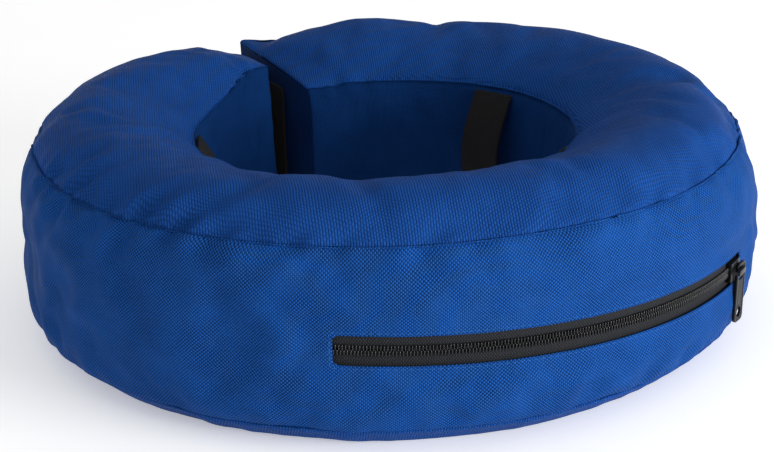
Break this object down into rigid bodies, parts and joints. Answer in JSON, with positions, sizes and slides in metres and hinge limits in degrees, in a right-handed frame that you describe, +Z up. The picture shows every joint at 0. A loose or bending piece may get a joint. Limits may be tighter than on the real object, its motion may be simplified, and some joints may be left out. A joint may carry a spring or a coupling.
{
  "type": "inflatable recovery collar",
  "caption": "Inflatable ring collar in a zipped fabric cover, split at the back, with webbing loops inside its neck opening for the pet's own collar.",
  "frame": {"origin": "middle of the ring, on the surface that it rests on", "axes": "+Z up along the neck opening; the zip is centred on -Y and the ring is split at +Y"},
  "size_m": [0.3828, 0.3828, 0.1137],
  "materials": {
    "cover_fabric": "royal blue coated nylon, ribbed weave with a satin sheen",
    "webbing": "black woven webbing",
    "hook_tape": "black hook tape",
    "loop_tape": "black brushed loop tape",
    "zip_tape": "charcoal woven tape",
    "zip_coil": "black polyester coil",
    "zip_metal": "glossy black enamel",
    "bladder_film": "smooth grey vinyl film",
    "valve_plastic": "clear grey vinyl"
  },
  "bodies": {
    "front_span": {"cover_top_front": "cover_fabric", "cover_bottom_front": "cover_fabric", "cover_outer_front": "cover_fabric", "cover_inner_front": "cover_fabric", "bladder_front": "bladder_film", "collar_loop_front_left": "webbing", "collar_loop_front_right": "webbing", "zip_tape_upper": "zip_tape", "zip_tape_lower": "zip_tape", "zip_coil_upper": "zip_coil", "zip_coil_lower": "zip_coil", "zip_stop_open": "zip_coil", "zip_stop_closed": "zip_coil", "valve_body": "valve_plastic"},
    "left_arm": {"cover_top_left": "cover_fabric", "cover_bottom_left": "cover_fabric", "cover_outer_left": "cover_fabric", "cover_inner_left": "cover_fabric", "bladder_left": "bladder_film", "collar_loop_rear_left": "webbing", "end_panel_left": "cover_fabric", "loop_patch": "loop_tape"},
    "right_arm": {"cover_top_right": "cover_fabric", "cover_bottom_right": "cover_fabric", "cover_outer_right": "cover_fabric", "cover_inner_right": "cover_fabric", "bladder_right": "bladder_film", "collar_loop_rear_right": "webbing", "end_panel_right": "cover_fabric", "hook_patch": "hook_tape"},
    "slider": {"zip_slider": "zip_metal"},
    "pull": {"zip_pull": "zip_metal"},
    "valve_stopper": {"valve_plug": "valve_plastic"}
  },
  "joints": [
    {"name": "left_arm_opening", "type": "hinge", "parent": "front_span", "child": "left_arm", "pos_m": [-0.15201, -0.11664, 0.0536], "axis": [0, 0, 1], "range_deg": [0, 25], "stiffness_Nm_per_rad": 4},
    {"name": "right_arm_opening", "type": "hinge", "parent": "front_span", "child": "right_arm", "pos_m": [0.15201, -0.11664, 0.0536], "axis": [0, 0, -1], "range_deg": [0, 25], "stiffness_Nm_per_rad": 4},
    {"name": "slider_travel", "type": "hinge", "parent": "front_span", "child": "slider", "pos_m": [0, 0, 0.0493], "axis": [0.0279, 0, 0.9996], "range_deg": [-66, 0]},
    {"name": "pull_swing", "type": "hinge", "parent": "slider", "child": "pull", "pos_m": [0.10928, -0.15966, 0.04625], "axis": [0.5647, -0.8251, -0.0158], "range_deg": [-40, 90]},
    {"name": "valve_stopper_slide", "type": "slide", "parent": "front_span", "child": "valve_stopper", "axis": [-0.1736, -0.9848, 0], "range_m": [0, 0.008]}
  ]
}
